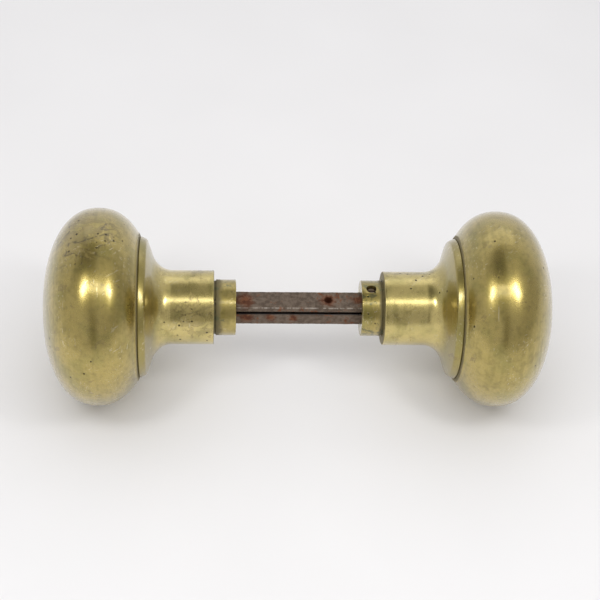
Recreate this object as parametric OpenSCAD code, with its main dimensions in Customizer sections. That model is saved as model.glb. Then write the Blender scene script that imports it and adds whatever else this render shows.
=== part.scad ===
// A pair of hollow brass door knobs on a three-bar square spindle.
//
// Frame: the origin is on the spindle's axis, midway between the two knobs.
// +X runs along the spindle to the right knob, and +Z points up.
// Each knob is a spun bulb on a trumpet neck. A shank with a square socket runs
// through the neck and is riveted over an anchor plate inside the bulb.
// Two half bars and a wedge bar make up the spindle, and a headless set screw
// in each shank's collar presses the bars apart in the socket.

/* [Bulb] */
// Diameter of the bulb, 2 1/4 in
knob_d = 57.15; // [50:0.05:64]
// Distance from the middle of the pair to the bulb's widest circle
bulb_mid_x = 57.7; // [56:0.1:60]
// Depth of the bulb from its widest circle towards the door
bulb_back_depth = 16; // [15:0.1:18]
// Depth of the bulb from its widest circle to the face
bulb_face_depth = 15.7; // [13:0.1:18]
// Squareness of the bulb's outline, where 2 is an ellipse
bulb_power = 2.22; // [2:0.01:2.6]
// Thickness of the spun brass
shell_t = 0.9; // [0.6:0.1:1.4]

/* [Neck] */
// Distance from the middle of the pair to the neck's end face
neck_end_x = 24.45; // [23:0.05:26]
// Distance from the middle of the pair to the seam between neck and bulb
seam_x = 45.8; // [45:0.1:46.5]
// Diameter of the neck's plain tube
neck_d = 21.5; // [19:0.1:23]
// Diameter of the rim that carries the bulb
rim_d = 40.8; // [39:0.1:42]
// Length of the rim's sloping face, from the seam to its rounded edge
rim_face_l = 1.6; // [1.2:0.1:1.8]
// Slope of the rim's face, in degrees
rim_slope = 24; // [12:1:26]
// Roundness of the rim's front edge
rim_round = 1.1; // [0.8:0.1:1.4]
// Length of the flare and rim, from the plain tube to the seam
flare_l = 9.3; // [8.8:0.1:10]
// Thickness of the drawn brass
neck_t = 1.3; // [0.9:0.1:1.6]

/* [Shank] */
// Diameter of the collar that turns in the door's rose
collar_d = 16.2; // [15:0.1:17]
// Length of the collar outside the neck, 1/4 in
collar_l = 6.35; // [5:0.05:8]
// Depth that the collar is let into the neck's end
collar_sink = 0.8; // [0.6:0.1:1]
// Width of the groove that frees the collar's corner
relief_w = 0.8; // [0.6:0.1:1]
// Diameter of the shank inside the neck
shank_d = 13.2; // [12.6:0.1:15]
// Thickness of the anchor plate inside the bulb
plate_t = 1.5; // [1:0.1:2]
// Diameter of the anchor plate
plate_d = 38.4; // [34:0.1:39]

/* [Spindle] */
// Width across the flats, 9/32 in
spindle_w = 7.14; // [6.3:0.01:7.4]
// Length of the bars, 3 1/2 in
spindle_l = 88.9; // [80:0.1:90]
// Play between the bars and the socket on each side
socket_play = 0.06; // [0.04:0.01:0.1]
// Height of the wedge bar's side walls
wedge_wall = 1.7; // [1.2:0.1:2]
// Height of the open joint between the wedge bar and a half bar
joint_gap = 0.95; // [0.5:0.05:1.1]
// Split between the two half bars
split_gap = 0.5; // [0.4:0.05:0.8]

/* [Set screws] */
// Diameter of the set screw
screw_d = 2.8; // [2.4:0.1:3.4]
// Distance from the collar's end to the set screw's axis
screw_inset = 2.75; // [2.2:0.05:3.2]
// Depth of the set screw's head below the collar
screw_recess = 0.95; // [0.5:0.05:1.2]

/* [Hidden] */
$fn = 96;
eps = 0.01;

knob_r = knob_d / 2;
neck_r = neck_d / 2;
rim_r = rim_d / 2;
collar_r = collar_d / 2;
shank_r = shank_d / 2;
collar_end_x = neck_end_x - collar_l;

// The shell's mouth is turned in, and the plate clamps that lip to the rim.
lip_r = 15.5;
seam_groove = 0.6;
plate_x = seam_x + shell_t;
bulb_steps = 40;

edge_break = 0.4;

// The flare is part of a quarter ellipse that leaves the tube smoothly. It stops
// short of upright, and a straight stretch joins it to the rim's rounded edge.
rim_stretch = 3.1;
rim_rise = 2.4;
flare_start_x = seam_x - flare_l;
flare_reach = flare_l - rim_stretch;
flare_top_r = rim_r - rim_rise;
flare_depth = flare_top_r - neck_r;
flare_turn = 69;
flare_inner_turn = 62;
flare_steps = 14;
round_turn = 72;
round_steps = 6;
round_x = seam_x - rim_face_l + rim_round * sin(rim_slope);
round_r = rim_r - (rim_face_l - edge_break) * tan(rim_slope) - rim_round * cos(rim_slope);

// The riveted end of the shank stands on the plate inside the bulb.
shank_fit = 0.05;
// The turned surface begins beside the screw hole and not opposite it.
shank_seam_turn = 35;
// The relief groove runs on a little way under the neck's end face.
relief_deep = 0.35;
relief_cover = 0.2;
relief_x = neck_end_x + relief_cover;
seat_x = neck_end_x + collar_sink;
rivet_x = plate_x + plate_t;
rivet_l = 1.2;
rivet_r = 8;

socket_w = spindle_w + 2 * socket_play;

// Section of the spindle: the wedge's flanks lie at 45 degrees, and bear on the
// inner edges of the half bars, whose own tops are flatter.
half_w = spindle_w / 2;
wedge_play = 0.12;
wedge_half_w = half_w - wedge_play;
wedge_top = half_w - wedge_play;
flank_gap = 0.057;
flank_drop = wedge_half_w - wedge_top + wedge_wall;
wedge_toe = 0.3;
bar_top = wedge_top - wedge_wall - joint_gap;
corner_cut = 0.35;

// The screw's tip leaves room for the wedge bar to rise when it is let go.
screw_r = screw_d / 2;
screw_fit = 0.05;
screw_clear = 0.05;
screw_steps = 48;
screw_x = collar_end_x + screw_inset;
screw_tip = half_w + screw_clear;
screw_head = collar_r - screw_recess;
screw_point_l = 0.5;
screw_point_r = 0.9;
slot_w = 0.5;
slot_deep = 0.7;

// One point [radius, x] on a bulb outline of radius r, at the angle a from its
// widest circle; the depth changes from the door side to the face side.
function bulb_point(a, r, back, face) =
    let (depth = a < 0 ? back : face)
    [r * pow(abs(cos(a)), 2 / bulb_power),
     bulb_mid_x + sign(a) * depth * pow(abs(sin(a)), 2 / bulb_power)];

// Angle at which an outline of the given depth passes the distance x.
function bulb_angle(x, depth) = -asin(pow((bulb_mid_x - x) / depth, bulb_power / 2));

function bulb_curve(from, to, r, back, face) =
    [for (i = [0 : bulb_steps]) bulb_point(from + (to - from) * i / bulb_steps, r, back, face)];

function arc_points(cr, cx, rr, rx, from, to, steps) =
    [for (i = [0 : steps]) let (a = from + (to - from) * i / steps) [cr + rr * cos(a), cx + rx * sin(a)]];

// Turn a shape that stands on Z so that it lies along +X.
module along_x() {
    rotate([0, 90, 0]) children();
}

// Spin an outline of [radius, x] points about the X axis.
module spun(outline) {
    along_x() rotate_extrude() polygon(outline);
}

// A bar of the spindle, from its section given as [y, z] points.
module bar(section) {
    translate([-spindle_l / 2, 0, 0])
        rotate([90, 0, 90])
            linear_extrude(height = spindle_l) polygon(section);
}

module wedge_bar() {
    half = [
        [wedge_half_w - corner_cut, wedge_top],
        [wedge_half_w, wedge_top - corner_cut],
        [wedge_half_w, wedge_top - wedge_wall],
        [wedge_toe, wedge_toe - flank_drop]
    ];
    other = [for (i = [len(half) - 1 : -1 : 0]) [-half[i][0], half[i][1]]];
    color([0.42, 0.33, 0.26]) bar(concat(half, other));
}

module half_bar() {
    inner = split_gap / 2;
    bar([
        [inner, -half_w],
        [half_w - corner_cut, -half_w],
        [half_w, -half_w + corner_cut],
        [half_w, bar_top - corner_cut],
        [half_w - corner_cut, bar_top],
        [inner, inner - flank_drop - flank_gap]
    ]);
}

module front_bar() {
    color([0.38, 0.30, 0.24]) mirror([0, 1, 0]) half_bar();
}

module back_bar() {
    color([0.40, 0.31, 0.25]) half_bar();
}

module bulb_shell() {
    back_in = bulb_back_depth - shell_t;
    face_in = bulb_face_depth - shell_t;
    outer_start = bulb_angle(seam_x + seam_groove, bulb_back_depth);
    inner_start = bulb_angle(plate_x, back_in);
    color([0.66, 0.56, 0.33])
        spun(concat(
            [[lip_r, seam_x], [rim_r - seam_groove, seam_x]],
            bulb_curve(outer_start, 90, knob_r, bulb_back_depth, bulb_face_depth),
            bulb_curve(90, inner_start, knob_r - shell_t, back_in, face_in),
            [[lip_r, plate_x]]
        ));
}

module neck() {
    hole_r = shank_r + shank_fit;
    color([0.70, 0.60, 0.38])
        spun(concat(
            [[hole_r, seat_x], [collar_r + shank_fit, seat_x], [collar_r + shank_fit, neck_end_x]],
            [[neck_r - edge_break, neck_end_x], [neck_r, neck_end_x + edge_break]],
            arc_points(flare_top_r, flare_start_x, -flare_depth, flare_reach, 0, flare_turn, flare_steps),
            arc_points(round_r, round_x, rim_round, -rim_round, round_turn, rim_slope, round_steps),
            [[rim_r, seam_x - edge_break], [rim_r - edge_break, seam_x], [lip_r, seam_x]],
            arc_points(flare_top_r, flare_start_x, -flare_depth - neck_t, flare_reach + neck_t,
                flare_inner_turn, 0, flare_steps),
            [[neck_r - neck_t, seat_x + neck_t], [hole_r, seat_x + neck_t]]
        ));
}

module shank() {
    color([0.68, 0.60, 0.40])
        difference() {
            rotate([shank_seam_turn, 0, 0]) spun([
                [0, collar_end_x],
                [collar_r - edge_break, collar_end_x],
                [collar_r, collar_end_x + edge_break],
                [collar_r, relief_x - relief_w],
                [collar_r - relief_deep, relief_x - relief_w],
                [collar_r - relief_deep, relief_x],
                [collar_r, relief_x],
                [collar_r, seat_x],
                [shank_r, seat_x],
                [shank_r, rivet_x],
                [rivet_r, rivet_x],
                [rivet_r - edge_break, rivet_x + rivet_l],
                [0, rivet_x + rivet_l]
            ]);
            translate([collar_end_x - eps, -socket_w / 2, -socket_w / 2])
                cube([rivet_x + rivet_l - collar_end_x + 2 * eps, socket_w, socket_w]);
            translate([screw_x, 0, 0])
                cylinder(h = knob_r, r = screw_r + screw_fit, $fn = screw_steps);
        }
}

module anchor_plate() {
    plate_r = plate_d / 2;
    color([0.45, 0.43, 0.42])
        spun([
            [shank_r + shank_fit, plate_x],
            [plate_r, plate_x],
            [plate_r, rivet_x - edge_break],
            [plate_r - edge_break, rivet_x],
            [shank_r + shank_fit, rivet_x]
        ]);
}

module set_screw() {
    color([0.36, 0.30, 0.25])
        difference() {
            translate([screw_x, 0, 0])
                rotate_extrude($fn = screw_steps) polygon([
                    [0, screw_tip],
                    [screw_point_r, screw_tip],
                    [screw_r, screw_tip + screw_point_l],
                    [screw_r, screw_head],
                    [0, screw_head]
                ]);
            translate([screw_x - screw_d, -slot_w / 2, screw_head - slot_deep])
                cube([2 * screw_d, slot_w, 2 * slot_deep]);
        }
}

// The left knob faces the other way, with its screw turned to the back.
module on_left() {
    mirror([1, 0, 0]) rotate([-90, 0, 0]) children();
}

wedge_bar();
front_bar();
back_bar();
bulb_shell();  // right_bulb_shell
neck();  // right_neck
shank();  // right_shank
anchor_plate();  // right_anchor_plate
set_screw();  // right_set_screw
on_left() bulb_shell();  // left_bulb_shell
on_left() neck();  // left_neck
on_left() shank();  // left_shank
on_left() anchor_plate();  // left_anchor_plate
on_left() set_screw();  // left_set_screw
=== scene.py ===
# %% [markdown]
# # A pair of old brass door knobs on their spindle
#
# Two hollow knobs face each other across a square steel spindle. This lesson takes the measured
# frame of the pair as it is, draws each visible piece again with a finer outline, and gives it the
# finish that a century of hands and damp leaves on brass and steel.
#
# Work in metres here, in the frame's own directions: +X runs along the spindle to the right knob,
# and +Z points up.

# %% Load the frame
import math
from types import SimpleNamespace

import bpy
from mathutils import Matrix, Vector


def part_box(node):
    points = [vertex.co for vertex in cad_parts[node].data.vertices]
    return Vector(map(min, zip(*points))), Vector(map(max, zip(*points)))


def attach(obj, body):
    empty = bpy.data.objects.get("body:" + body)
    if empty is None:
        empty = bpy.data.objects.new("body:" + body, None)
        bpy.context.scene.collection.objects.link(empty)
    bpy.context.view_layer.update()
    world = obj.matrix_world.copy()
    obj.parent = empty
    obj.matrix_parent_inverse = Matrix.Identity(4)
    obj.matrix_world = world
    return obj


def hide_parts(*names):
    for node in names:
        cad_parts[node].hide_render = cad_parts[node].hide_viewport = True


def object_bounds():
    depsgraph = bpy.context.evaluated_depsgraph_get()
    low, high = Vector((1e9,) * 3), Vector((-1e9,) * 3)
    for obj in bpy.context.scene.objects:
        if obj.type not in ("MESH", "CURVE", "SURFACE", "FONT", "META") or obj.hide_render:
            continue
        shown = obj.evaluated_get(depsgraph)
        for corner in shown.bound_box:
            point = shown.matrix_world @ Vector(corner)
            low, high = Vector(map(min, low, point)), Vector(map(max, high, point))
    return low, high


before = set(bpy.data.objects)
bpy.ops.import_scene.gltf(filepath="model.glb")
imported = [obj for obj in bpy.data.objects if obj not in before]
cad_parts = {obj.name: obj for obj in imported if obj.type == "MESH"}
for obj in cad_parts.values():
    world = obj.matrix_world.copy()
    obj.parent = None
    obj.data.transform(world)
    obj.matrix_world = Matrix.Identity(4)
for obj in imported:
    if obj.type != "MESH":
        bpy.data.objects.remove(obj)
cad_low, cad_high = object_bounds()
MM = 0.001
print("nodes:", sorted(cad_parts))
print("frame box in mm:", [round(v / MM, 2) for v in (cad_high - cad_low)])

# %% [markdown]
# ## Read the sizes off the frame
#
# A turned piece is described by where it starts and ends along the spindle, and by its radius.
# The frame's boxes give those for the right knob. The left knob is the same piece facing the other
# way, so nothing needs measuring twice.

# %% Sizes that the boxes give
shell_low, shell_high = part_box("right_bulb_shell")
neck_low, neck_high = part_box("right_neck")
shank_low, shank_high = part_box("right_shank")
wedge_low, wedge_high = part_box("wedge_bar")
screw_low, screw_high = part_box("right_set_screw")

seam_x, face_x, bulb_r = shell_low.x, shell_high.x, shell_high.z
neck_end_x, rim_r = neck_low.x, neck_high.z
collar_end_x, collar_r = shank_low.x, shank_high.z
bar_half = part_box("back_bar")[1].y
floor_z = cad_low.z
for what, size in (("seam at", seam_x), ("face at", face_x), ("bulb radius", bulb_r)):
    print(what, round(size / MM, 2), "mm")

# %% [markdown]
# ## Stand the camera
#
# The pair lies across the view, seen from above at about 46 degrees with a long lens from less
# than half a metre. The camera stands a little to the left of the middle and turns back towards it,
# which is why the end face of the right neck just shows.

# %% Camera
VIEW_RISE = math.radians(46.5)
CAMERA_AWAY = 0.45
CAMERA_ASIDE = -0.0251
CAMERA_TURN = 0.0570
CAMERA_TILT = 0.0050
CAMERA_ROLL = 0.0060
LENS_MM = 92.8

towards = Vector((math.sin(CAMERA_TURN), math.cos(CAMERA_TURN), 0))
across = Vector((math.cos(CAMERA_TURN), -math.sin(CAMERA_TURN), 0))
upward = Vector((0, 0, 1))
look = towards * math.cos(CAMERA_TILT) + upward * math.sin(CAMERA_TILT)
rise = upward * math.cos(CAMERA_TILT) - towards * math.sin(CAMERA_TILT)
right = across * math.cos(CAMERA_ROLL) + rise * math.sin(CAMERA_ROLL)
top = rise * math.cos(CAMERA_ROLL) - across * math.sin(CAMERA_ROLL)
lean = Matrix.Rotation(-VIEW_RISE, 4, "X")

camera = bpy.data.objects.new("camera", bpy.data.cameras.new("camera"))
bpy.context.scene.collection.objects.link(camera)
camera.data.lens = LENS_MM
camera.data.sensor_width = 36
camera.data.clip_start, camera.data.clip_end = 0.01, 20
axes = Matrix((right, top, -look)).transposed().to_4x4()
camera.matrix_world = lean @ Matrix.Translation((CAMERA_ASIDE, -CAMERA_AWAY, 0)) @ axes
bpy.context.scene.camera = camera
print("camera at", [round(v, 3) for v in camera.matrix_world.translation])

# %% [markdown]
# ## Wires that do arithmetic
#
# A finish is a sum of small effects: a stain here, a scratch there. Written as plain arithmetic it
# stays readable, so a wire wraps a shader socket and each operator adds the node that does it.

# %% Wire
class Wire:
    """An output socket of a finish, with the arithmetic that the finishes use."""

    def __init__(self, finish, socket):
        self.finish, self.socket = finish, socket

    def math(self, operation, a, b=0.0, clamp=False):
        return self.finish.add("ShaderNodeMath", {"operation": operation, "use_clamp": clamp}, {0: a, 1: b})

    def __add__(self, other):
        return self.math("ADD", self, other)

    def __sub__(self, other):
        return self.math("SUBTRACT", self, other)

    def __mul__(self, other):
        return self.math("MULTIPLY", self, other)

    def __pow__(self, other):
        return self.math("POWER", self, other)

    def __rsub__(self, other):
        return self.math("SUBTRACT", other, self)

    __radd__ = __add__
    __rmul__ = __mul__

    def size(self):
        return self.math("ABSOLUTE", self)

    def clamped(self):
        return self.math("ADD", self, 0.0, clamp=True)

print("a wire's operators:", "+ - * **")

# %% [markdown]
# ## A finish that is filled by code
#
# Every other node comes from one method, which takes the node's kind, its settings and its sockets.
# The rest of the class gives plain names to what brass and steel need: a place in millimetres,
# noise with a grain in millimetres, a soft step, a patch near a point, and a colour laid over
# another.

# %% Finish
class Finish:
    """A node tree of a material or of the world, filled by code."""

    def __init__(self, owner):
        owner.use_nodes = True
        self.owner, self.tree = owner, owner.node_tree
        self.tree.nodes.clear()

    def add(self, kind, settings=None, sockets=None, out=0):
        made = self.tree.nodes.new(kind)
        for name, value in (settings or {}).items():
            setattr(made, name, value)
        for name, value in (sockets or {}).items():
            socket = made.inputs[name]
            if isinstance(value, Wire):
                self.tree.links.new(value.socket, socket)
            elif socket.type == "RGBA" and len(value) == 3:
                socket.default_value = (*value, 1)
            else:
                socket.default_value = value
        return Wire(self, made.outputs[out]) if made.outputs else None

    def place(self):
        """The point on the piece, in millimetres, from the middle of the spindle."""
        raw = self.add("ShaderNodeTexCoord", out="Object")
        return self.add("ShaderNodeVectorMath", {"operation": "SCALE"}, {0: raw, "Scale": 1 / MM})

    def most(self, a, b):
        return self.add("ShaderNodeMath", {"operation": "MAXIMUM"}, {0: a, 1: b})

    def split(self, vector):
        return [self.add("ShaderNodeSeparateXYZ", sockets={0: vector}, out=i) for i in range(3)]

    def join(self, x, y, z):
        return self.add("ShaderNodeCombineXYZ", sockets={0: x, 1: y, 2: z})

    def moved(self, vector, by):
        return self.add("ShaderNodeVectorMath", {"operation": "ADD"}, {0: vector, 1: by})

    def noise(self, vector, grain_mm, detail=3.0, rough=0.5, warp=0.0):
        return self.add("ShaderNodeTexNoise", {"noise_dimensions": "3D"},
                        {"Vector": vector, "Scale": 1 / grain_mm, "Detail": detail,
                         "Roughness": rough, "Distortion": warp})

    def cells(self, vector, cell_mm, out="Distance"):
        return self.add("ShaderNodeTexVoronoi", {"feature": "F1"},
                        {"Vector": vector, "Scale": 1 / cell_mm}, out=out)

    def between(self, value, low, high):
        """0 below low, 1 above high, with a soft step; low may be the larger."""
        return self.add("ShaderNodeMapRange", {"interpolation_type": "SMOOTHSTEP"},
                        {0: value, 1: low, 2: high, 3: 0.0, 4: 1.0})

    def near(self, at, place, reach, ragged):
        """1 at a place, fading to 0 at a ragged distance from it; all in mm."""
        gap = self.add("ShaderNodeVectorMath", {"operation": "DISTANCE"}, {0: at, 1: place}, out="Value")
        return self.between(gap + ragged * reach, reach * 1.5, reach * 0.75)

    def tint(self, share, under, over):
        """The colour under, covered by the colour over where share is 1."""
        return self.add("ShaderNodeMix", {"data_type": "RGBA"}, {0: share, 6: under, 7: over}, out=2)

    def bump(self, height_mm):
        return self.add("ShaderNodeBump", sockets={"Height": height_mm, "Distance": MM, "Strength": 1.0})

    def close(self, **sockets):
        """Ends a material in a Principled shader."""
        named = {name.replace("_", " "): value for name, value in sockets.items()}
        shader = self.add("ShaderNodeBsdfPrincipled", sockets=named)
        self.add("ShaderNodeOutputMaterial", sockets={0: shader})
        return self.owner

print("a finish can add, place, split, join, move, step and tint")

# %% [markdown]
# ## A room that the brass can mirror
#
# Brass shows what surrounds it, so the room is drawn by direction, as the brass should mirror it.
# Pale paper sweeps up behind. Low down the room is a little lighter on the left than on the right,
# and high up it is dim on the left. In front stands a dark column, as a camera on its stand would:
# without it the knobs would look like flat yellow plastic. Matt surfaces and the backdrop get an
# even pale tone instead, which keeps the shadows on the table soft.

# %% Room light
ROOM_LEFT, ROOM_RIGHT = (0.62, 0.61, 0.60), (0.42, 0.41, 0.40)
HIGH_LEFT, HIGH_RIGHT = (0.17, 0.165, 0.155), (0.56, 0.55, 0.52)
COLUMN, COLUMN_SHARE = (0.03, 0.03, 0.03), 0.78
PAPER = (0.76, 0.76, 0.79)
FOR_MATT, BACKDROP = (0.90, 0.90, 0.91), (0.84, 0.84, 0.86)

world = bpy.data.worlds.new("room")
bpy.context.scene.world = world
room = Finish(world)
direction = room.add("ShaderNodeTexCoord", out="Generated")
side_way, sweep_side, sky_side = room.split(direction)
low_down = room.between(sky_side, 0.97, 0.40)
level = room.tint(room.between(side_way, -0.45, 0.85), ROOM_LEFT, ROOM_RIGHT)
overhead = room.tint(room.between(side_way, -0.05, 0.10), HIGH_LEFT, HIGH_RIGHT)
mirrored = room.tint(low_down, overhead, level)
column = room.between((side_way + 0.02).size(), 0.20, 0.02) * room.between(sweep_side, 0.0, -0.2)
column = column * room.between(sky_side, 0.72, 0.55) * room.between(sky_side, -0.15, 0.10)
mirrored = room.tint(column * COLUMN_SHARE, mirrored, COLUMN)
sweep = room.between(sweep_side, 0.10, 0.70) * room.between(sky_side, 0.90, 0.55)
mirrored = room.tint(sweep, mirrored, PAPER)
path = {name: room.add("ShaderNodeLightPath", out=f"Is {name} Ray") for name in ("Diffuse", "Camera")}
tone = room.tint(path["Diffuse"], mirrored, FOR_MATT)
tone = room.tint(path["Camera"], tone, BACKDROP)
glow = room.add("ShaderNodeBackground", sockets={"Color": tone, "Strength": 1.0})
room.add("ShaderNodeOutputWorld", sockets={0: glow})
print("paper behind:", PAPER, "and column in front:", COLUMN)

# %% [markdown]
# ## Strip lights
#
# Near lights draw a tall highlight on each flank of a bulb and a long one down a neck. Two narrow
# strips hang over the knobs, one at each side. A wider strip crosses between them over the spindle,
# and a large light stands behind. Each faces the middle of the pair.

# %% Strip lights
def strip_light(name, spot, long, wide, watts):
    """A light that faces the knobs, long from front to back and wide from side to side."""
    lamp = bpy.data.lights.new(name, "AREA")
    lamp.shape, lamp.size, lamp.size_y, lamp.energy = "RECTANGLE", wide, long, watts
    holder = bpy.data.objects.new(name, lamp)
    bpy.context.scene.collection.objects.link(holder)
    holder.visible_camera = False
    facing = Vector(spot).to_track_quat("Z", "Y").to_matrix().to_4x4()
    holder.matrix_world = Matrix.Translation(spot) @ facing

strip_light("left_strip", (-0.150, -0.098, 0.230), long=0.08, wide=0.05, watts=0.13)
strip_light("right_strip", (0.138, -0.099, 0.226), long=0.08, wide=0.05, watts=0.13)
strip_light("cross_strip", (-0.005, -0.100, 0.235), long=0.05, wide=0.20, watts=0.070)
strip_light("back_light", (0.0, 0.40, 0.36), long=0.25, wide=0.50, watts=0.15)

# %% [markdown]
# ## The table
#
# The pair lies on a plain pale table that touches both bulbs. It is a disc so wide that its edge
# can't be seen, with a faint cloudiness so that it isn't one flat colour.

# %% Table
TABLE_R = 7
TABLE_DARK, TABLE_LIGHT = (0.77, 0.76, 0.76), (0.83, 0.82, 0.82)

def table_paint():
    paint = Finish(bpy.data.materials.new("pale_table"))
    cloud = paint.noise(paint.place(), 60, detail=2)
    return paint.close(Base_Color=paint.tint(cloud, TABLE_DARK, TABLE_LIGHT), Roughness=0.6)

bpy.ops.mesh.primitive_circle_add(vertices=96, radius=TABLE_R, fill_type="NGON", location=(0, 0, floor_z))
table = bpy.context.object
table.name = "table"
table.data.materials.append(table_paint())
bpy.context.scene.view_settings.view_transform = "Standard"
print("table at", round(floor_z / MM, 2), "mm")

# %% [markdown]
# ## Working on one piece at a time
#
# The frame arrives selected, and an operator works on everything that is selected. So each piece
# begins with nothing selected, and its points are picked again in code before every cut.

# %% Selection helpers
def clear_selection():
    if bpy.context.mode != "OBJECT":
        bpy.ops.object.mode_set(mode="OBJECT")
    bpy.ops.object.select_all(action="DESELECT")

def take(piece):
    clear_selection()
    piece.select_set(True)
    bpy.context.view_layer.objects.active = piece

def press(modifier, kind, piece, **settings):
    """Adds a modifier, sets it and applies it."""
    take(piece)
    added = piece.modifiers.new(modifier, kind)
    for name, value in settings.items():
        setattr(added, name, value)
    bpy.ops.object.modifier_apply(modifier=added.name)

def cut_away(piece, cutter):
    press("cut", "BOOLEAN", piece, operation="DIFFERENCE", object=cutter, solver="EXACT")
    bpy.data.objects.remove(cutter)

def count(piece):
    piece.data.calc_loop_triangles()
    return len(piece.data.loop_triangles)

clear_selection()
print("nothing selected:", not bpy.context.selected_objects)

# %% [markdown]
# ## Draw an outline and spin it
#
# Every brass piece was turned on a lathe, drawn or spun over a former, so it is round about the
# spindle. The quickest true way to model that is the lathe's own: a single point is drawn out along
# half the section, one extrusion at a time, and the outline is spun once about the X axis. The
# first point comes from a small plane whose corners are merged.

# %% Spin helper
SPIN_STEPS = 180
MERGE_GAP = 0.002 * MM
SHARP_DEG = 40

def turned(name, outline, steps=SPIN_STEPS):
    """A closed turned piece from its section's (x, radius) points, in metres."""
    clear_selection()
    start = Vector((outline[0][0], 0, outline[0][1]))
    bpy.ops.mesh.primitive_plane_add(size=MM, location=start)
    piece = bpy.context.object
    piece.name = piece.data.name = name
    bpy.ops.object.transform_apply(location=True, rotation=True, scale=True)
    bpy.ops.object.mode_set(mode="EDIT")
    bpy.ops.mesh.select_all(action="SELECT")
    bpy.ops.mesh.merge(type="CENTER")
    for (x0, r0), (x1, r1) in zip(outline, outline[1:]):
        bpy.ops.mesh.extrude_region_move(TRANSFORM_OT_translate={"value": (x1 - x0, 0, r1 - r0)})
    bpy.ops.mesh.select_all(action="SELECT")
    bpy.ops.mesh.spin(steps=steps, angle=2 * math.pi, center=(0, 0, 0), axis=(1, 0, 0))
    bpy.ops.mesh.select_all(action="SELECT")
    bpy.ops.mesh.remove_doubles(threshold=MERGE_GAP)
    bpy.ops.mesh.normals_make_consistent(inside=False)
    bpy.ops.object.mode_set(mode="OBJECT")
    bpy.ops.object.shade_smooth_by_angle(angle=math.radians(SHARP_DEG))
    return piece

def arc(x, r, reach_x, reach_r, start_deg, end_deg, steps):
    """Points on an ellipse about (x, r); 0 degrees points outwards and 90 along the spindle."""
    angles = [math.radians(start_deg + (end_deg - start_deg) * i / steps) for i in range(steps + 1)]
    return [(x + reach_x * math.sin(a), r + reach_r * math.cos(a)) for a in angles]

print("spin steps:", SPIN_STEPS)

# %% [markdown]
# ## The bulb
#
# The bulb is sheet brass spun to a fat bun shape, a little squarer than an ellipse. Its mouth turns
# in behind the rim of the neck, and the small roll before that turn is what makes the dark line of
# the seam. The outline runs out over the bun to the middle of the face, back inside at the wall's
# thickness, and home to the mouth.

# %% Bulb
BULB_POWER = 2.22
NEARLY_NOTHING = 1e-9
WIDEST_X = 57.7 * MM
BACK_DEPTH = 16.0 * MM
FACE_DEPTH = face_x - WIDEST_X
SHEET = 0.9 * MM
MOUTH_R = 15.5 * MM
ROLL = 0.65 * MM
ROLL_DROP = 2.2 * ROLL

def bun(angle, r, back, face):
    """A point of the bulb's outline at an angle from its widest circle, towards the face if positive."""
    depth = back if angle < 0 else face
    along = math.copysign(abs(math.sin(angle)) ** (2 / BULB_POWER), angle)
    out = math.cos(angle)
    if out < NEARLY_NOTHING:
        out = 0.0
    return WIDEST_X + depth * along, r * out ** (2 / BULB_POWER)

def bun_angle(x, depth):
    return -math.asin(((WIDEST_X - x) / depth) ** (BULB_POWER / 2))

def bun_line(start, end, r, back, face, steps):
    return [bun(start + (end - start) * i / steps, r, back, face) for i in range(steps + 1)]

def bulb_outline():
    start = bun_angle(seam_x + ROLL, BACK_DEPTH)
    outside = bun_line(start, math.pi / 2, bulb_r, BACK_DEPTH, FACE_DEPTH, 96)
    inner_back = bun_angle(seam_x + SHEET, BACK_DEPTH - SHEET)
    inside = bun_line(math.pi / 2, inner_back, bulb_r - SHEET, BACK_DEPTH - SHEET, FACE_DEPTH - SHEET, 40)
    edge_x, edge_r = outside[0]
    roll = [(seam_x + (edge_x - seam_x) * t * t, edge_r - ROLL_DROP * (1 - t) ** 1.3)
            for t in (0.0, 0.35, 0.65, 0.85)]
    mouth = [(seam_x, MOUTH_R)]
    return mouth + roll + outside + inside + [(seam_x + SHEET, MOUTH_R), (seam_x, MOUTH_R)]

right_bulb = turned("right_bulb", bulb_outline())
print("bulb triangles:", count(right_bulb))

# %% [markdown]
# ## The neck
#
# The neck is a drawn trumpet. Its flare is part of a quarter ellipse that leaves the tube smoothly.
# A short straight stretch joins it to the rounded edge of the rim, whose face slopes up to the seam.
# All edges get a small radius, because an edge that hands have rubbed for years is never sharp, and
# it is the radius that catches the light. A few extra rings along the straight tube keep its faces
# from being long slivers.

# %% Neck
TUBE_R = 10.75 * MM
RIM_FACE, RIM_SLOPE_DEG, RIM_ROUND = 1.6 * MM, 24, 1.1 * MM
FLARE_LENGTH, RIM_STRETCH, RIM_RISE = 9.3 * MM, 3.1 * MM, 2.4 * MM
FLARE_TURN_DEG, INNER_TURN_DEG, ROUND_TURN_DEG = 69, 62, 71
FLARE_REACH = FLARE_LENGTH - RIM_STRETCH
FLARE_TOP_R = rim_r - RIM_RISE
TUBE_RINGS, RING_START, RING_STEP = 6, 0.8 * MM, 2 * MM
DRAWN = 1.3 * MM
SEAT_DEPTH = 0.8 * MM
COLLAR_HOLE_R = collar_r + 0.05 * MM
SHANK_HOLE_R = 6.65 * MM
SOFT_EDGE = 0.35 * MM

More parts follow.
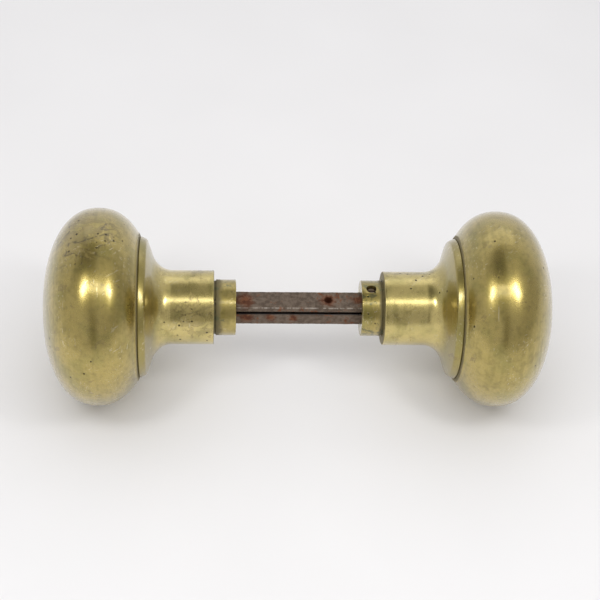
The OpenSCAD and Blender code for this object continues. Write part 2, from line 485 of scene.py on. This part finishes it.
def neck_outline():
    flare_x, depth = seam_x - FLARE_LENGTH, FLARE_TOP_R - TUBE_R
    slope = math.radians(RIM_SLOPE_DEG)
    round_x = seam_x - RIM_FACE + RIM_ROUND * math.sin(slope)
    round_r = rim_r - (RIM_FACE - SOFT_EDGE) * math.tan(slope) - RIM_ROUND * math.cos(slope)
    seat_x = neck_end_x + SEAT_DEPTH
    end = arc(neck_end_x + SOFT_EDGE, TUBE_R - SOFT_EDGE, SOFT_EDGE, SOFT_EDGE, -90, 0, 6)
    flare = arc(flare_x, FLARE_TOP_R, FLARE_REACH, -depth, 0, FLARE_TURN_DEG, 40)
    edge = arc(round_x, round_r, RIM_ROUND, RIM_ROUND, -ROUND_TURN_DEG, -RIM_SLOPE_DEG, 14)
    back = arc(seam_x - SOFT_EDGE, rim_r - SOFT_EDGE, SOFT_EDGE, SOFT_EDGE, -RIM_SLOPE_DEG, 90, 7)
    inner = arc(flare_x, FLARE_TOP_R, FLARE_REACH + DRAWN, -depth - DRAWN, INNER_TURN_DEG, 0, 16)
    seat = [(seat_x, SHANK_HOLE_R), (seat_x, COLLAR_HOLE_R), (neck_end_x, COLLAR_HOLE_R)]
    inside = [(seam_x, MOUTH_R), *inner, (seat_x + DRAWN, TUBE_R - DRAWN), (seat_x + DRAWN, SHANK_HOLE_R)]
    tube = [(neck_end_x + RING_START + i * RING_STEP, TUBE_R) for i in range(TUBE_RINGS)]
    return seat + end + tube + flare + edge + back + inside + [seat[0]]

right_neck = turned("right_neck", neck_outline())
print("neck triangles:", count(right_neck))

# %% [markdown]
# ## The shank
#
# The shank is turned from solid brass bar. Its collar runs in the door's rose, a narrow relief
# groove frees the corner where it enters the neck, and a square socket runs right through it for
# the spindle. The socket and the tapped hole are cut with plain cutters, a box and a rod, because
# that is how the broach and the drill cut them. A fine bevel then breaks the cut edges.

# %% Shank
SOCKET_PLAY, SCREW_PLAY = 0.06 * MM, 0.05 * MM
SOCKET_HALF = bar_half + SOCKET_PLAY
SHANK_R = 6.6 * MM
RIVET_R = 8.0 * MM
RIVET_DEPTH = 1.2 * MM
UPSET_ROUND, UPSET_START = 0.7 * MM, 0.5 * MM
RELIEF_WIDTH, RELIEF_DEPTH, RELIEF_COVER = 0.8 * MM, 0.35 * MM, 0.2 * MM
RELIEF_SLANT = 0.08 * MM
COLLAR_EDGE, BROKEN_EDGE = 0.32 * MM, 0.10 * MM
screw_x = (screw_low.x + screw_high.x) / 2
screw_r = (screw_high.x - screw_low.x) / 2
HOLE_R = screw_r + SCREW_PLAY
BEVEL_FROM_DEG, SHANK_SHARP_DEG = 50, 32

def shank_outline():
    relief_x, seat_x = neck_end_x + RELIEF_COVER, neck_end_x + SEAT_DEPTH
    groove_x, groove_r = relief_x - RELIEF_WIDTH, collar_r - RELIEF_DEPTH
    rivet_x = shank_high.x - RIVET_DEPTH
    edge = arc(collar_end_x + COLLAR_EDGE, collar_r - COLLAR_EDGE, COLLAR_EDGE, COLLAR_EDGE, -90, 0, 6)
    groove = [(groove_x, collar_r), (groove_x + RELIEF_SLANT, groove_r)]
    groove += [(relief_x, groove_r), (relief_x, collar_r)]
    body = [(seat_x, collar_r), (seat_x, SHANK_R), (rivet_x, SHANK_R), (rivet_x, RIVET_R)]
    upset = arc(rivet_x + UPSET_START, RIVET_R - UPSET_ROUND, UPSET_ROUND, UPSET_ROUND, 0, 90, 5)
    return [(collar_end_x, 0), *edge, *groove, *body, *upset, (shank_high.x, 0)]

def socket_cutter():
    size = (shank_high.x - collar_end_x + 4 * MM, 2 * SOCKET_HALF, 2 * SOCKET_HALF)
    middle = ((shank_high.x + collar_end_x) / 2, 0, 0)
    bpy.ops.mesh.primitive_cube_add(size=1, location=middle, scale=size)
    return bpy.context.object

def hole_cutter():
    depth = collar_r + MM
    middle = (screw_x, 0, depth / 2)
    bpy.ops.mesh.primitive_cylinder_add(vertices=40, radius=HOLE_R, depth=depth, location=middle)
    return bpy.context.object

right_shank = turned("right_shank", shank_outline())
clear_selection()
cut_away(right_shank, socket_cutter())
cut_away(right_shank, hole_cutter())
press("break_edges", "BEVEL", right_shank, width=BROKEN_EDGE, segments=2, limit_method="ANGLE",
      angle_limit=math.radians(BEVEL_FROM_DEG))
take(right_shank)
bpy.ops.object.shade_smooth_by_angle(angle=math.radians(SHANK_SHARP_DEG))
print("shank triangles:", count(right_shank))

# %% [markdown]
# ## The set screw
#
# A headless screw with a slot sits just below the collar's surface. Most of it hides in the collar,
# but it backs out, so its thread is modelled as well: a row of V grooves in the outline, which from
# any normal distance reads as the thread it stands for.

# %% Set screw
PITCH = 0.6 * MM
THREAD_DEPTH = 0.22 * MM
SLOT_WIDTH, SLOT_DEPTH = 0.5 * MM, 0.7 * MM
CROWN = 0.12 * MM
POINT_R, POINT_LENGTH = 0.8 * MM, 0.45 * MM
CREST_START, CREST_END = 0.42 * PITCH, 0.58 * PITCH
SCREW_STEPS, SCREW_SHARP_DEG = 48, 25

def screw_outline():
    tip, head = screw_low.z, screw_high.z
    core_r = screw_r - THREAD_DEPTH
    points = [(tip, 0), (tip, POINT_R), (tip + POINT_LENGTH, core_r)]
    turns = int((head - tip - 2 * POINT_LENGTH) / PITCH)
    for i in range(turns):
        root = tip + POINT_LENGTH + i * PITCH
        points += [(root + CREST_START, screw_r), (root + CREST_END, screw_r), (root + PITCH, core_r)]
    return points + [(head - 2 * CROWN, screw_r - CROWN), (head - CROWN, screw_r - 2 * CROWN), (head, 0)]

def slot_cutter():
    bpy.ops.mesh.primitive_cube_add(size=1, location=(screw_high.z, 0, 0),
                                    scale=(2 * SLOT_DEPTH, SLOT_WIDTH, 4 * screw_r))
    return bpy.context.object

right_set_screw = turned("right_set_screw_steel", screw_outline(), steps=SCREW_STEPS)
clear_selection()
cut_away(right_set_screw, slot_cutter())
take(right_set_screw)
right_set_screw.rotation_euler.y = -math.pi / 2
right_set_screw.location.x = screw_x
bpy.ops.object.transform_apply(location=True, rotation=True, scale=True)
bpy.ops.object.shade_smooth_by_angle(angle=math.radians(SCREW_SHARP_DEG))
print("screw box in mm:", [round(v / MM, 2) for v in right_set_screw.dimensions])

# %% [markdown]
# ## Turn the left knob round
#
# The left knob is the right one facing the other way, with its screw turned to the back. Each piece
# is copied with its own mesh, mirrored across the middle and rolled a quarter turn. A mirror turns a
# mesh inside out, so its faces are pointed outwards again.

# %% Left knob
def facing_left(piece):
    take(piece)
    bpy.ops.object.duplicate()
    copy = bpy.context.object
    copy.name = copy.data.name = piece.name.replace("right", "left")
    copy.scale.x = -1
    copy.rotation_euler.x = -math.pi / 2
    bpy.ops.object.transform_apply(location=True, rotation=True, scale=True)
    bpy.ops.object.mode_set(mode="EDIT")
    bpy.ops.mesh.select_all(action="SELECT")
    bpy.ops.mesh.normals_make_consistent(inside=False)
    bpy.ops.object.mode_set(mode="OBJECT")
    return copy

left_bulb, left_neck, left_shank, left_set_screw = [
    facing_left(piece) for piece in (right_bulb, right_neck, right_shank, right_set_screw)]
print("left pieces:", left_bulb.name, left_neck.name, left_shank.name, left_set_screw.name)

# %% [markdown]
# ## Three bars
#
# The spindle is three bars: a wedge bar on top and a half bar at the front and at the back. Each
# starts as a box of the bar's own size. Its worn corners and its sloping flanks are flat, so each is
# one slice that is closed again.

# %% Box and slice
def box_bar(name, low, high):
    clear_selection()
    bpy.ops.mesh.primitive_cube_add(size=1, location=(low + high) / 2, scale=high - low)
    piece = bpy.context.object
    piece.name = piece.data.name = name
    bpy.ops.object.transform_apply(location=True, rotation=True, scale=True)
    return piece

def slice_off(piece, point, outward):
    """Cuts away what lies beyond a plane and closes the cut."""
    take(piece)
    bpy.ops.object.mode_set(mode="EDIT")
    bpy.ops.mesh.select_all(action="SELECT")
    bpy.ops.mesh.bisect(plane_co=point, plane_no=outward, use_fill=True, clear_outer=True)
    bpy.ops.object.mode_set(mode="OBJECT")

print("spindle in mm:", round(2 * bar_half / MM, 2), "square")

# %% [markdown]
# ## Eaten by rust
#
# Rust eats steel away unevenly. A remesh first gives the bar a fine even skin of faces. Two
# displacements then eat into it, one slow and one quick. Both only ever take metal off, so the bar
# can't grow out of its socket.

# %% Rust
SKIN = 0.24 * MM

def eaten(piece, name, size_mm, depth_mm):
    """Takes metal off in cloudy patches."""
    pattern = bpy.data.textures.new(name, "CLOUDS")
    pattern.noise_scale, pattern.noise_depth = size_mm * MM, 2
    press("eat", "DISPLACE", piece, texture=pattern, strength=depth_mm * MM, mid_level=1.0,
          texture_coords="LOCAL")

def rusted(piece):
    press("skin", "REMESH", piece, mode="VOXEL", voxel_size=SKIN, adaptivity=0.0)
    eaten(piece, piece.name + "_slow", size_mm=3.0, depth_mm=0.10)
    eaten(piece, piece.name + "_quick", size_mm=0.7, depth_mm=0.09)
    take(piece)
    bpy.ops.object.shade_smooth()
    print(piece.name, "triangles:", count(piece))

print("skin in mm:", round(SKIN / MM, 2))

# %% [markdown]
# ## The wedge bar
#
# The wedge bar has upright sides down to a shoulder, and from there two flanks slope in to its toe.
# The set screw has bitten a dimple into its top. That is sunk with a ball, because a worn screw
# point leaves a round hollow.

# %% Wedge bar
CORNER = 0.35 * MM
WEDGE_HALF = wedge_high.y
WEDGE_WALL = 1.7 * MM
SHOULDER_Z = wedge_high.z - WEDGE_WALL
DIMPLE_X, DIMPLE_R = 8.7 * MM, 1.2 * MM
BALL_R, BALL_RISE = 1.1 * DIMPLE_R, 0.55 * MM

wedge = box_bar("spindle_wedge", wedge_low, wedge_high)
for side in (1, -1):
    slice_off(wedge, (0, side * WEDGE_HALF, SHOULDER_Z), (0, side, -1))
    slice_off(wedge, (0, side * (WEDGE_HALF - CORNER), wedge_high.z), (0, side, 1))
bpy.ops.mesh.primitive_uv_sphere_add(segments=32, ring_count=16, radius=BALL_R,
                                     location=(DIMPLE_X, 0, wedge_high.z + BALL_RISE))
cut_away(wedge, bpy.context.object)
rusted(wedge)

# %% [markdown]
# ## The half bars
#
# The front and back bars are mirror images, so one function makes either. The inner top of a half
# bar slopes as the wedge bar's flank does, a hair below it, and its two outer corners are broken.

# %% Half bars
HALF_SPLIT, FLANK_GAP = 0.25 * MM, 0.06 * MM
toe_drop = SHOULDER_Z - WEDGE_HALF

def half_bar(name, node, side):
    low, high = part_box(node)
    piece = box_bar(name, low, high)
    inner_z = HALF_SPLIT + toe_drop - FLANK_GAP
    outer_y, outer_z = bar_half - CORNER, high.z
    slope = (outer_z - inner_z) / (outer_y - HALF_SPLIT)
    slice_off(piece, (0, side * outer_y, outer_z), (0, -side * slope, 1))
    for z, lift in ((low.z, -1), (high.z, 1)):
        slice_off(piece, (0, side * outer_y, z), (0, side, lift))
    rusted(piece)
    return piece

front_half = half_bar("spindle_front", "front_bar", -1)
back_half = half_bar("spindle_back", "back_bar", 1)

# %% [markdown]
# ## Aged brass
#
# Old unlacquered brass is never one colour. Broad clouds of olive tarnish lie over warm metal, with
# brown stains where damp stood, dark specks where it has pitted, and hair scratches on top. Two more
# things give it away as a turned piece: very fine rings left by the lathe, and a darker, duller band
# at every join between its parts. The colours come first, as linear values.

# %% Brass colours
BRIGHT = (0.65, 0.530, 0.190)
WARM = (0.47, 0.367, 0.104)
OLIVE = (0.31, 0.247, 0.057)
GREENISH = (0.285, 0.262, 0.062)
BROWN = (0.17, 0.115, 0.048)
PALE = (0.72, 0.63, 0.38)
JOIN_DARK = (0.105, 0.085, 0.042)
PIT = (0.030, 0.022, 0.012)
VERDIGRIS = (0.085, 0.105, 0.045)
print("green to red in the warm metal:", round(WARM[1] / WARM[0], 2))

# %% [markdown]
# ## The ground that every effect shares
#
# Tarnish, stains and pits all gather where the metal is poor, so they must agree about where that
# is. One set of noises is drawn for each finish and every effect reads it. The fine rings come from
# noise that changes only along the spindle and outwards from it. Marks are places that fared worse
# than the rest.

# %% Ground
def brass_ground(paint, marks):
    at = paint.place()
    x, y, z = paint.split(at)
    out_x, radius = x.size(), (y * y + z * z) ** 0.5
    cloudy = paint.noise(paint.moved(at, (31, 7, 3)), 1.6, detail=4, rough=0.58)
    worse = cloudy * 0.0
    for place, reach in marks:
        worse = paint.most(worse, paint.near(at, place, reach, cloudy * 0.5))
    wiped = paint.join(x * 0.7, radius * 0.7, y * 0.05 + z * 0.06)
    return SimpleNamespace(
        at=at, x=x, y=y, z=z, out_x=out_x, cloudy=cloudy, worse=worse,
        broad=paint.noise(at, 11, detail=2, rough=0.5),
        smear=paint.noise(wiped, 1.0, detail=3, rough=0.5),
        dust=paint.noise(at, 0.32, detail=2),
        rings=paint.noise(paint.join(out_x * 5.0, radius * 5.0, 0.0), 1.0, detail=3, rough=0.6))

print("shared noises: cloudy, broad, smear, dust, rings")

# %% [markdown]
# ## Tarnish
#
# Tarnish is a film, so it changes slowly: broad clouds, some smearing along the way a cloth moves,
# and a little fine mottling. On the neck's flare before the seam, painted shade in the same olive lies over
# it.

# %% Tarnish
def tarnished_and_shaded(paint, ground, metal, tarnish, flare_shade):
    film = ground.broad * 0.45 + ground.smear * 0.25 + ground.cloudy * 0.30
    dull_and_shade = paint.between(film, 0.54 - 0.18 * tarnish, 0.74 - 0.18 * tarnish)
    # Painted shade: the neck's flare goes darker olive towards the seam.
    if flare_shade:
        dull_and_shade = paint.most(dull_and_shade, paint.between(ground.out_x + ground.cloudy * 1.5, *flare_shade))
    colour = paint.tint(dull_and_shade * 0.85, metal, OLIVE)
    greenish = paint.between(paint.noise(paint.moved(ground.at, (40, 2, 9)), 7, detail=3), 0.48, 0.66)
    colour = paint.tint(greenish * 0.35, colour, GREENISH)
    colour = paint.tint(paint.between(ground.cloudy, 0.46, 0.78) * 0.24, colour, BROWN)
    return paint.tint(paint.between(ground.dust, 0.50, 0.74) * 0.08, colour, PALE), dull_and_shade

print("tarnish goes from", WARM, "to", OLIVE)

# %% [markdown]
# ## Stains with a tide line
#
# A drop that dries pushes its dirt to its edge. So each stain is a faint brown area with a darker
# line around it: the area is where a warped noise passes a height, and the line is where it is
# close to that height.

# %% Damp stains
def damp_stained(paint, ground, colour, stained):
    damp = paint.noise(paint.moved(ground.at, (5, 60, 11)), 6.0, detail=6, rough=0.68, warp=0.8)
    damp = damp + ground.worse * 0.16
    edge = 0.72 - 0.14 * stained
    stain = paint.between(damp, edge, edge + 0.05)
    tide = paint.between((damp - (edge + 0.012)).size(), 0.016, 0.003)
    return paint.tint((stain * 0.30 + tide * 0.50).clamped(), colour, BROWN), damp, stain

print("a stain's edge is brown:", BROWN)

# %% [markdown]
# ## Scratches and scrapes
#
# A hair scratch is short, straight and bright. Noise that is stretched twenty times along one
# direction gives such streaks, and two directions are enough. A scrape has dirt in it: it is the
# thin dark line where another noise crosses its middle, and is drawn only at the marks.

# %% Scratches
def scratched(paint, ground, colour, scraped):
    at, x, y, z = ground.at, ground.x, ground.y, ground.z
    streak = paint.most(paint.noise(paint.join((y + z) * 0.05, x, y * 0.7 - z * 0.7), 0.5, detail=1),
                        paint.noise(paint.join((x + y) * 0.05, x * 0.7 - y * 0.7, z), 0.5, detail=1))
    handled = paint.between(paint.noise(at, 7, detail=1), 0.50, 0.60)
    scratch = paint.between(streak, 0.66, 0.73) * handled
    colour = paint.tint(scratch * 0.55, colour, PALE)
    course = paint.noise(paint.join(y * 0.8 + z * 0.4, x * 0.12 + z * 0.1, x * 0.5 - y * 0.2), 6, detail=2)
    scrape = paint.between((course - 0.5).size(), 0.022, 0.008)
    scrape = scrape * ground.worse * paint.between(ground.cloudy, 0.40, 0.50)
    return paint.tint(scrape * scraped, colour, PIT), scratch

print("scratches are", PALE, "and scrapes are", PIT)

# %% [markdown]
# ## Pits and darker joins
#
# A pit is a small dark hole. Each cell of a cell pattern may hold one at its centre, and the cell's
# own random colour picks which do. The joins between parts are made darker and duller, placed by
# their distance along the spindle, with a ragged edge.

# %% Pits and darker joins
def pitted(paint, ground, colour, pits):
    from_centre = paint.cells(ground.at, 2.0)
    pick = paint.split(paint.cells(ground.at, 2.0, out="Color"))[0] + ground.worse * 0.45
    pit = paint.between(from_centre + ground.cloudy * 0.14, 0.27, 0.19)
    pit = pit * paint.between(pick, pits, pits + 0.02)
    return paint.tint(pit * 0.92, colour, PIT), pit

# Darker, duller bands at the seams, the tube ends and the collars beside the necks.
def darkened_at_joins(paint, ground, colour, corners):
    join_darkening = ground.cloudy * 0.0
    for distance, reach in corners:
        gap = (ground.x - distance).size() + ground.cloudy * reach * 0.9
        join_darkening = paint.most(join_darkening, paint.between(gap, reach * 1.15, reach * 0.60))
    return paint.tint(join_darkening * 0.80, colour, JOIN_DARK), join_darkening

print("pits are", PIT, "and grime is", JOIN_DARK)

# %% [markdown]
# ## Lay the effects over each other
#
# The order matters: tarnish lies under the stains, scratches cut through both, pits through all,
# and the darkening at the joins covers what is left. A thin clear coat over the metal stands for
# the film of oil and wax from hands. It is missing over the darkened joins and over pits.

# %% Aged brass
def aged_brass(name, corners, metal=WARM, matt=0.25, tarnish=0.5, pits=0.80, stained=0.5,
               scraped=0.2, marks=(), green=0.0, flare_shade=None):
    """corners are (x, reach) of the darker joins, marks are (place, reach) of worse stains and pits, and
    flare_shade is where the painted shade on the flare before the seam starts and is full; all in mm."""
    paint = Finish(bpy.data.materials.new(name))
    ground = brass_ground(paint, marks)
    colour, dull_and_shade = tarnished_and_shaded(paint, ground, metal, tarnish, flare_shade)
    colour, damp, stain = damp_stained(paint, ground, colour, stained)
    colour, scratch = scratched(paint, ground, colour, scraped)
    colour, pit = pitted(paint, ground, colour, pits)
    colour, join_darkening = darkened_at_joins(paint, ground, colour, corners)
    if green:
        bloom = paint.between(damp + ground.cloudy * 0.5, 0.89 - 0.1 * green, 0.94 - 0.1 * green)
        colour = paint.tint(bloom * 0.6, colour, VERDIGRIS)
    roughness = matt + dull_and_shade * 0.06 + ground.dust * 0.05 + stain * 0.08 + join_darkening * 0.30 - scratch * 0.05
    height = ground.dust * 0.0012 + ground.rings * 0.0020 + ground.cloudy * 0.002
    height = height - scratch * 0.004 - pit * 0.06
    return paint.close(Base_Color=colour, Metallic=(1.0 - join_darkening * 0.75 - stain * 0.15).clamped(),
                       Roughness=roughness.clamped(), Normal=paint.bump(height), Coat_Roughness=0.15,
                       Coat_Weight=(0.88 - join_darkening * 0.80 - pit * 0.80).clamped(), Coat_IOR=1.55)

print("metal, film, stains, scratches, pits and grime, in that order")

# %% [markdown]
# ## Three kinds of brass
#
# The spun bulbs are the dullest. The drawn necks are brighter along the tube, where hands slide, and
# more pitted on the left one. The turned shanks are stained all over, and their collars are darker
# in a band beside the neck, wider on the left, with a little verdigris.

# %% Brass pieces
seam_mm, neck_mm = seam_x / MM, neck_end_x / MM
TOP_OF_LEFT_BULB = (-62, 2, 28)
LEFT_TUBE_FRONT, LEFT_TUBE_BACK = (-31, -9, 5), (-28, 7, 8)
RIGHT_TUBE_TOP = (33, 4, 10)
seams = [(side * (seam_mm + 0.1), 0.55) for side in (1, -1)]
tube_ends = [(side * neck_mm, 0.30) for side in (1, -1)]
collar_bands = [(neck_mm - 0.4, 1.9), (-neck_mm + 0.4, 3.6)]
bulb_brass = aged_brass("bulb_brass", seams, tarnish=0.60, pits=0.93, stained=0.55, scraped=0.55,
                        marks=[(TOP_OF_LEFT_BULB, 12)])
# The necks' flare_shade paints shade on the flare, growing from 6.5 mm to 2.5 mm before the seam.
neck_brass = aged_brass("neck_brass", seams + tube_ends, metal=BRIGHT, matt=0.235, tarnish=0.22,
                        pits=0.86, stained=0.35, flare_shade=(seam_mm - 6.5, seam_mm - 2.5),
                        marks=[(LEFT_TUBE_FRONT, 9), (LEFT_TUBE_BACK, 5), (RIGHT_TUBE_TOP, 5)])
shank_brass = aged_brass("shank_brass", collar_bands, tarnish=0.75, matt=0.27, stained=0.75, green=0.9)
print("brass finishes:", bulb_brass.name, neck_brass.name, shank_brass.name)

# %% [markdown]
# ## Rusty steel
#
# The bars were once bright steel. What is left is dull grey-brown metal with orange rust in patches,
# darker where it is deep. The rust is thick around the screw's dimple and where the knobs used to
# sit, so those places are named. The patch on top beside the right collar is painted shade, laid on as
# rust.

# %% Steel colours and rusty places
STEEL = (0.185, 0.140, 0.104)
DULL_STEEL = (0.105, 0.074, 0.052)
RUST = (0.200, 0.066, 0.022)
DEEP_RUST = (0.050, 0.014, 0.007)
# A painted highlight for the bar corners, and painted shade for the gap under the wedge bar:
CORNER_HIGHLIGHT = (0.66, 0.61, 0.54)
SHADE = (0.010, 0.009, 0.008)
top_mm, bar_mm, shoulder_mm = wedge_high.z / MM, bar_half / MM, SHOULDER_Z / MM
DIMPLE_PLACE = (DIMPLE_X / MM, 0, top_mm)
# The second patch on top, beside the right collar, is painted shade laid on as rust.
TOP_RUST_AND_SHADE = [((-15.6, -0.4, top_mm), 3.5), ((17.4, 0, top_mm), 2.2)]
FRONT_PATCHES = [((x, -bar_mm, z), reach) for x, z, reach in
                 ((-8.0, -0.5, 1.9), (-1.5, -0.8, 1.8), (-15.0, -0.6, 2.6))]
print("rusty places:", 1 + len(TOP_RUST_AND_SHADE) + len(FRONT_PATCHES))

# %% [markdown]
# ## What only the bars have
#
# A bar's long corners get a painted highlight, brighter in some stretches than in others. The
# screw's dimple is a dark hollow. Where the wedge bar lies on a half bar, painted shade darkens the gap.

# %% Marks on the bars
def bar_marks(paint, at, rust_and_shade, crumb, colour, metal, roughness):
    x, y, z = paint.split(at)
    # Painted highlight: a pale colour along the bar's long corners, broken into stretches.
    corner = paint.between(y.size(), bar_mm - 0.55, bar_mm - 0.21)
    corner = corner * paint.between(z.size(), bar_mm - 0.61, bar_mm - 0.25)
    highlight_stretches = paint.between(paint.noise(paint.join(x, 0.0, 0.0), 2.6, detail=4, rough=0.7), 0.43, 0.55)
    corner_highlight = corner * highlight_stretches * (1.0 - rust_and_shade * 0.6)
    pit = paint.near(at, DIMPLE_PLACE, DIMPLE_R / MM, crumb * 0.2)
    # Painted shade: near black where the wedge bar's shoulder sits over a half bar.
    joint_shade = paint.between(y.size(), bar_mm - 0.15, bar_mm - 0.35) * paint.between(z, -0.05, 0.20)
    joint_shade = joint_shade * paint.between(z, shoulder_mm + 0.1, shoulder_mm - 0.1)
    colour = paint.tint(corner_highlight * 0.95, colour, CORNER_HIGHLIGHT)
    colour = paint.tint(pit * 0.95, colour, DEEP_RUST)
    colour = paint.tint(joint_shade * 0.9, colour, SHADE)
    return colour, metal - corner_highlight * 0.2 + pit * 0.6 - joint_shade * 0.6, roughness - corner_highlight * 0.12

print("joint from the middle up to", round(shoulder_mm, 2), "mm")

# %% [markdown]
# ## One steel for the bars, the screws and the plates
#
# Crumbly noise mixes the two greys, and slow noise with a little of the crumb in it says where rust
# has grown. Rust is rough and hardly metallic, so all three are taken from the same mask.

# %% Rusty steel
def rusty_steel(name, rust=0.5, spots=(), is_bar=True):
    paint = Finish(bpy.data.materials.new(name))
    at = paint.place()
    broad = paint.noise(at, 3.4, detail=4, rough=0.6, warp=0.6)
    crumb = paint.noise(paint.moved(at, (9, 9, 9)), 1.3, detail=4, rough=0.6)
    grit = paint.noise(at, 0.16, detail=2)
    colour = paint.tint(paint.between(crumb, 0.34, 0.66), DULL_STEEL, STEEL)
    rust_and_shade = paint.between(broad * 0.65 + crumb * 0.35, 0.62 - 0.16 * rust, 0.72 - 0.16 * rust)
    for place, reach in spots:
        rust_and_shade = paint.most(rust_and_shade, paint.near(at, place, reach, crumb))
    deep = paint.between(crumb, 0.56, 0.42) * rust_and_shade
    colour = paint.tint(rust_and_shade * 0.85, colour, RUST)
    colour = paint.tint(deep * 0.60, colour, DEEP_RUST)
    metal, roughness = 0.64 - rust_and_shade * 0.25, 0.48 + rust_and_shade * 0.34 + grit * 0.10
    if is_bar:
        colour, metal, roughness = bar_marks(paint, at, rust_and_shade, crumb, colour, metal, roughness)
    height = crumb * 0.04 + grit * 0.014 + rust_and_shade * crumb * 0.04
    return paint.close(Base_Color=colour, Metallic=metal.clamped(), Roughness=roughness.clamped(),
                       Normal=paint.bump(height))

bar_steel = rusty_steel("bar_steel", spots=[(DIMPLE_PLACE, 3.3), *TOP_RUST_AND_SHADE, *FRONT_PATCHES])
screw_steel = rusty_steel("screw_steel", rust=0.35, is_bar=False)
plate_steel = rusty_steel("plate_steel", rust=0.15, is_bar=False)
print("steel finishes:", bar_steel.name, screw_steel.name, plate_steel.name)

# %% [markdown]
# ## Put each piece on its body
#
# Every new piece stands for one frame node and rides the body that node belongs to, so a knob slides
# with its own neck, shank and screw. The two anchor plates are hidden inside the bulbs and already
# have the right shape, so those nodes stay as they are and only get their steel.

# %% Place, finish and ride
PIECES = [
    (wedge, "wedge", "wedge_bar", bar_steel, "bar_steel"),
    (front_half, "front_half", "front_bar", bar_steel, "bar_steel"),
    (back_half, "spindle", "back_bar", bar_steel, "bar_steel"),
    (right_bulb, "right_knob", "right_bulb_shell", bulb_brass, "bulb_brass"),
    (right_neck, "right_knob", "right_neck", neck_brass, "neck_brass"),
    (right_shank, "right_knob", "right_shank", shank_brass, "shank_brass"),
    (right_set_screw, "right_screw", "right_set_screw", screw_steel, "screw_steel"),
    (left_bulb, "left_knob", "left_bulb_shell", bulb_brass, "bulb_brass"),
    (left_neck, "left_knob", "left_neck", neck_brass, "neck_brass"),
    (left_shank, "left_knob", "left_shank", shank_brass, "shank_brass"),
    (left_set_screw, "left_screw", "left_set_screw", screw_steel, "screw_steel"),
]
for piece, body, node, finish, slot_name in PIECES:
    piece.data.materials.clear()
    piece.data.materials.append(finish)
    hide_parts(node)
    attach(piece, body)

for plate in ("right_anchor_plate", "left_anchor_plate"):
    for material_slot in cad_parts[plate].material_slots:
        material_slot.material = plate_steel
print("pieces:", len(PIECES), "and two plates")

# %% [markdown]
# ## Leave nothing selected
#
# The finer pieces have to stay inside the frame's box. This last cell only clears the selection.

# %% Clear the selection
clear_selection()
